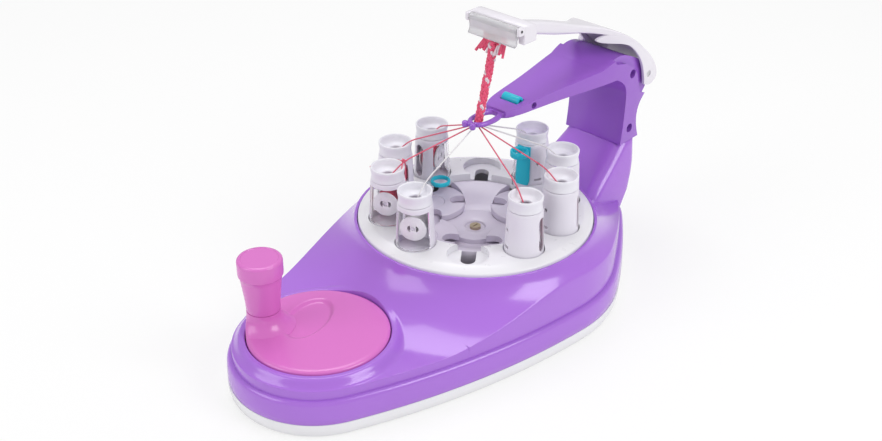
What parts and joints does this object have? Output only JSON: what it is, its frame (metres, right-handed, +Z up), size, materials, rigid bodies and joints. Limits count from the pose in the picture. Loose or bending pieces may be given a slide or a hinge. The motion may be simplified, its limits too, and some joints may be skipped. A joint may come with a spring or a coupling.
{
  "type": "kumihimo braiding machine",
  "caption": "Hand-cranked toy braider: a turning carousel of thread pods feeds an eye on an arm, and a hinged take-up arm draws the finished braid up.",
  "frame": {"origin": "on the resting plane, on the platform's turning axis: the middle of the centre foot's flat face", "axes": "+Z up; +X from the crank to the rear post, along the base's length; +Y to the left of that"},
  "size_m": [0.3951, 0.204, 0.2091],
  "materials": {
    "purple_shell": "gloss",
    "white_tray": "gloss",
    "rubber": "matt",
    "screw_steel": "bright",
    "brass_screw": "bright",
    "gear_plastic": "matt",
    "carousel_white": "gloss",
    "lavender": "gloss",
    "pink_plastic": "gloss",
    "arm_white": "gloss",
    "clear_plastic": "clear",
    "cap_plastic": "gloss",
    "pod_plastic": "gloss",
    "spool_plastic": "gloss",
    "turquoise": "gloss",
    "pink_thread": "matt",
    "white_thread": "matt",
    "braid_thread": "matt"
  },
  "bodies": {
    "base": {"bottom_tray": "white_tray", "rubber_feet": "rubber", "centre_foot": "rubber", "base_screws": "screw_steel", "base_shell": "purple_shell", "gear_deck": "gear_plastic", "platform_island": "lavender", "hub_screw": "brass_screw", "arm_near_shell": "purple_shell", "arm_far_shell": "purple_shell", "arm_screws": "screw_steel", "thread_eye": "purple_shell", "braid": "braid_thread"},
    "roller": {"thread_roller": "turquoise"},
    "crank": {"crank_disc": "pink_plastic", "crank_gear": "gear_plastic"},
    "knob": {"crank_knob": "pink_plastic"},
    "idler": {"idler_gear": "gear_plastic"},
    "carousel": {"carousel_ring": "carousel_white", "ring_gear": "gear_plastic", "pod_caps": "cap_plastic", "pod_windows": "clear_plastic", "loop_left": "turquoise", "loop_right": "turquoise", "pink_threads": "pink_thread", "white_threads": "white_thread", "pod_1_housing": "pod_plastic", "pod_2_housing": "pod_plastic", "pod_3_housing": "pod_plastic", "pod_4_housing": "pod_plastic", "pod_5_housing": "pod_plastic", "pod_6_housing": "pod_plastic", "pod_7_housing": "pod_plastic", "pod_8_housing": "pod_plastic"},
    "rotor_1": {"rotor_1": "lavender"},
    "rotor_2": {"rotor_2": "lavender"},
    "rotor_3": {"rotor_3": "lavender"},
    "rotor_4": {"rotor_4": "lavender"},
    "spool_1": {"pod_1_spool": "spool_plastic", "pod_1_winding": "white_thread"},
    "spool_2": {"pod_2_spool": "spool_plastic", "pod_2_winding": "pink_thread"},
    "spool_3": {"pod_3_spool": "spool_plastic", "pod_3_winding": "pink_thread"},
    "spool_4": {"pod_4_spool": "spool_plastic", "pod_4_winding": "pink_thread"},
    "spool_5": {"pod_5_spool": "spool_plastic", "pod_5_winding": "white_thread"},
    "spool_6": {"pod_6_spool": "spool_plastic", "pod_6_winding": "white_thread"},
    "spool_7": {"pod_7_spool": "spool_plastic", "pod_7_winding": "pink_thread"},
    "spool_8": {"pod_8_spool": "spool_plastic", "pod_8_winding": "pink_thread"},
    "take_up": {"take_up_arm": "arm_white", "jaw_pin": "screw_steel", "pivot_pin": "screw_steel"},
    "jaw": {"clip_jaw": "clear_plastic"}
  },
  "joints": [
    {"name": "crank_turn", "type": "hinge", "parent": "base", "child": "crank", "pos_m": [-0.154, 0, 0.04], "axis": [0, 0, 1], "continuous": true},
    {"name": "knob_spin", "type": "hinge", "parent": "crank", "child": "knob", "pos_m": [-0.17388, 0.03061, 0.07], "axis": [0, 0, 1], "continuous": true},
    {"name": "idler_turn", "type": "hinge", "parent": "base", "child": "idler", "pos_m": [-0.09975, 0, 0.027], "axis": [0, 0, 1], "continuous": true},
    {"name": "carousel_turn", "type": "hinge", "parent": "base", "child": "carousel", "pos_m": [0, 0, 0.065], "axis": [0, 0, 1], "continuous": true},
    {"name": "rotor_turn_1", "type": "hinge", "parent": "base", "child": "rotor_1", "pos_m": [-0.00088, 0.04199, 0.058], "axis": [0, 0, 1], "continuous": true},
    {"name": "rotor_turn_2", "type": "hinge", "parent": "base", "child": "rotor_2", "pos_m": [0.04021, -0.01214, 0.058], "axis": [0, 0, 1], "continuous": true},
    {"name": "rotor_turn_3", "type": "hinge", "parent": "base", "child": "rotor_3", "pos_m": [-0.04021, 0.01214, 0.058], "axis": [0, 0, 1], "continuous": true},
    {"name": "rotor_turn_4", "type": "hinge", "parent": "base", "child": "rotor_4", "pos_m": [0.00088, -0.04199, 0.058], "axis": [0, 0, 1], "continuous": true},
    {"name": "spool_spin_1", "type": "hinge", "parent": "carousel", "child": "spool_1", "pos_m": [-0.06359, -0.00133, 0.0835], "axis": [-0.866, -0.5, 0], "continuous": true},
    {"name": "spool_spin_2", "type": "hinge", "parent": "carousel", "child": "spool_2", "pos_m": [-0.05223, 0.0363, 0.0835], "axis": [-0.8829, -0.4695, 0], "continuous": true},
    {"name": "spool_spin_3", "type": "hinge", "parent": "carousel", "child": "spool_3", "pos_m": [-0.02092, 0.06006, 0.0835], "axis": [0.9848, 0.1736, 0], "continuous": true},
    {"name": "spool_spin_4", "type": "hinge", "parent": "carousel", "child": "spool_4", "pos_m": [0.01838, 0.06089, 0.0835], "axis": [0.342, -0.9397, 0], "continuous": true},
    {"name": "spool_spin_5", "type": "hinge", "parent": "carousel", "child": "spool_5", "pos_m": [0.06359, 0.00133, 0.0835], "axis": [-0.6157, 0.788, 0], "continuous": true},
    {"name": "spool_spin_6", "type": "hinge", "parent": "carousel", "child": "spool_6", "pos_m": [0.05223, -0.0363, 0.0835], "axis": [0.9397, 0.342, 0], "continuous": true},
    {"name": "spool_spin_7", "type": "hinge", "parent": "carousel", "child": "spool_7", "pos_m": [0.02092, -0.06006, 0.0835], "axis": [0.5878, 0.809, 0], "continuous": true},
    {"name": "spool_spin_8", "type": "hinge", "parent": "carousel", "child": "spool_8", "pos_m": [-0.01838, -0.06089, 0.0835], "axis": [0.7771, 0.6293, 0], "continuous": true},
    {"name": "take_up_swing", "type": "hinge", "parent": "base", "child": "take_up", "pos_m": [0.168, 0, 0.129], "axis": [0, 1, 0], "range_deg": [-10, 22], "deforming": ["braid"]},
    {"name": "clip_open", "type": "hinge", "parent": "take_up", "child": "jaw", "pos_m": [0.016, 0, 0.2065], "axis": [0, 1, 0], "range_deg": [0, 30]},
    {"name": "roller_spin", "type": "hinge", "parent": "base", "child": "roller", "pos_m": [0.037, 0, 0.1432], "axis": [0, 1, 0], "continuous": true}
  ],
  "couplings": [
    {"joint": "idler_turn", "follows": "crank_turn", "ratio": -1.8182},
    {"joint": "carousel_turn", "follows": "crank_turn", "ratio": 0.43478},
    {"joint": "rotor_turn_1", "follows": "crank_turn", "ratio": 1.3043},
    {"joint": "rotor_turn_2", "follows": "crank_turn", "ratio": 1.3043},
    {"joint": "rotor_turn_3", "follows": "crank_turn", "ratio": 1.3043},
    {"joint": "rotor_turn_4", "follows": "crank_turn", "ratio": 1.3043}
  ]
}
